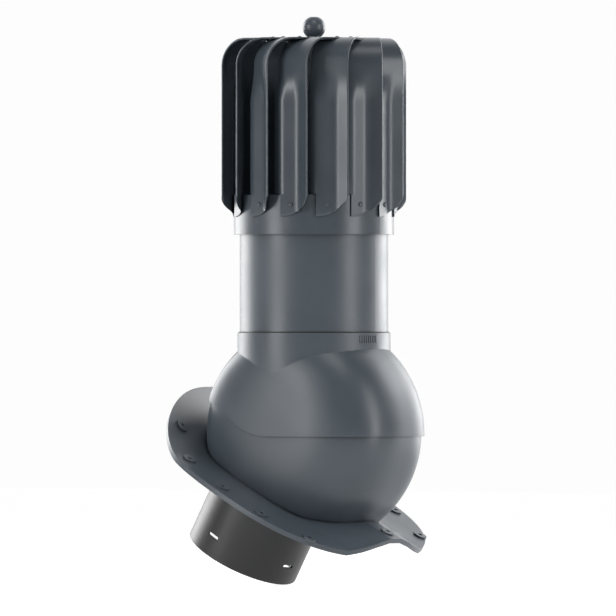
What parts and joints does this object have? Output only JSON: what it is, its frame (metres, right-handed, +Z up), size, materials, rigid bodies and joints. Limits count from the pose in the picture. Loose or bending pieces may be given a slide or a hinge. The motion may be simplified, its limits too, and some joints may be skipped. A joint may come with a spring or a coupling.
{
  "type": "roof turbine ventilator",
  "caption": "Roof turbine ventilator: tile-shaped flashing with duct spigot, tilting swivel hood, riser pipe and a bladed rotor on ball bearings.",
  "frame": {"origin": "where the duct spigot's axis meets the seating plane under the flashing", "axes": "+Z up along the riser and the rotor's axis, +X down the roof in plan, +Y across it; the roof is at its rest slope"},
  "size_m": [0.2706, 0.286, 0.6118],
  "materials": {
    "slate_plastic": "satin",
    "slate_coating": "satin",
    "black_plastic": "matte",
    "seal_rubber": "matte",
    "cast_aluminium": "cast",
    "bearing_steel": "ground",
    "zinc_steel": "zinc plated"
  },
  "bodies": {
    "base": {"base_flashing": "slate_plastic", "duct_spigot": "black_plastic", "spigot_seal": "seal_rubber", "spigot_screws": "zinc_steel"},
    "head": {"upper_hood": "slate_plastic", "pivot_clasps": "zinc_steel", "riser_pipe": "slate_plastic", "riser_seal": "seal_rubber", "bearing_bracket": "cast_aluminium", "bracket_rivets": "slate_coating", "shaft": "bearing_steel", "shaft_nut": "zinc_steel", "shaft_clip": "bearing_steel", "inner_spacer": "bearing_steel", "lower_bearing_inner_race": "bearing_steel", "upper_bearing_inner_race": "bearing_steel"},
    "rotor": {"rotor_ring": "slate_coating", "top_plate": "slate_coating", "bearing_hub": "cast_aluminium", "hub_screws": "zinc_steel", "ball_knob": "slate_plastic", "upper_blade_rivets": "slate_coating", "lower_blade_rivets": "slate_coating", "lower_bearing_outer_race": "bearing_steel", "upper_bearing_outer_race": "bearing_steel", "blade_01": "slate_coating", "blade_02": "slate_coating", "blade_03": "slate_coating", "blade_04": "slate_coating", "blade_05": "slate_coating", "blade_06": "slate_coating", "blade_07": "slate_coating", "blade_08": "slate_coating", "blade_09": "slate_coating", "blade_10": "slate_coating", "blade_11": "slate_coating", "blade_12": "slate_coating", "blade_13": "slate_coating", "blade_14": "slate_coating"},
    "lower_cage": {"lower_bearing_balls": "bearing_steel"},
    "upper_cage": {"upper_bearing_balls": "bearing_steel"}
  },
  "joints": [
    {"name": "roof_pitch", "type": "hinge", "parent": "base", "child": "head", "pos_m": [0.04929, 0, 0.05386], "axis": [0, 1, 0], "range_deg": [-6, 14]},
    {"name": "rotor_spin", "type": "hinge", "parent": "head", "child": "rotor", "pos_m": [0.04929, 0, 0.44], "axis": [0, 0, 1], "continuous": true},
    {"name": "lower_cage_spin", "type": "hinge", "parent": "head", "child": "lower_cage", "pos_m": [0.04929, 0, 0.42336], "axis": [0, 0, 1], "continuous": true},
    {"name": "upper_cage_spin", "type": "hinge", "parent": "head", "child": "upper_cage", "pos_m": [0.04929, 0, 0.46176], "axis": [0, 0, 1], "continuous": true}
  ],
  "couplings": [
    {"joint": "lower_cage_spin", "follows": "rotor_spin", "ratio": 0.632},
    {"joint": "upper_cage_spin", "follows": "rotor_spin", "ratio": 0.632}
  ]
}
